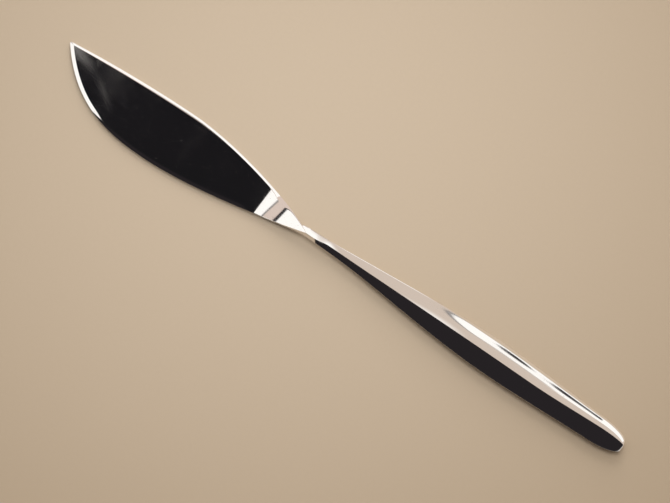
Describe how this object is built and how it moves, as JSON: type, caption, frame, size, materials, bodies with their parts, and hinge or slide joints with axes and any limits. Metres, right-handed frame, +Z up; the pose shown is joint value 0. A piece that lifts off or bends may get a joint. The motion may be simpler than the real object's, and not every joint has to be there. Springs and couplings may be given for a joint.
{
  "type": "fish knife",
  "caption": "Polished fish knife: flat leaf-shaped blade with a bevelled rim, a raised shoulder and a slim neck, brazed into a hollow ridged handle made of two shells.",
  "frame": {"origin": "middle of the knife's footprint, on the surface that it lies on", "axes": "+X from the blade's tip to the handle's end, +Y towards the blade's back, +Z up"},
  "size_m": [0.2, 0.0192, 0.0052],
  "materials": {
    "blade_metal": "mirror polished, with faint hairline scratches",
    "handle_metal": "mirror polished, with faint hairline scratches",
    "braze": "pale silver braze, polished flush",
    "filler_resin": "cast resin, unseen"
  },
  "bodies": {
    "root": {"blade": "blade_metal", "handle_upper_shell": "handle_metal", "handle_lower_shell": "handle_metal", "handle_seam": "braze", "mouth_braze": "braze", "handle_filler": "filler_resin"}
  },
  "joints": []
}
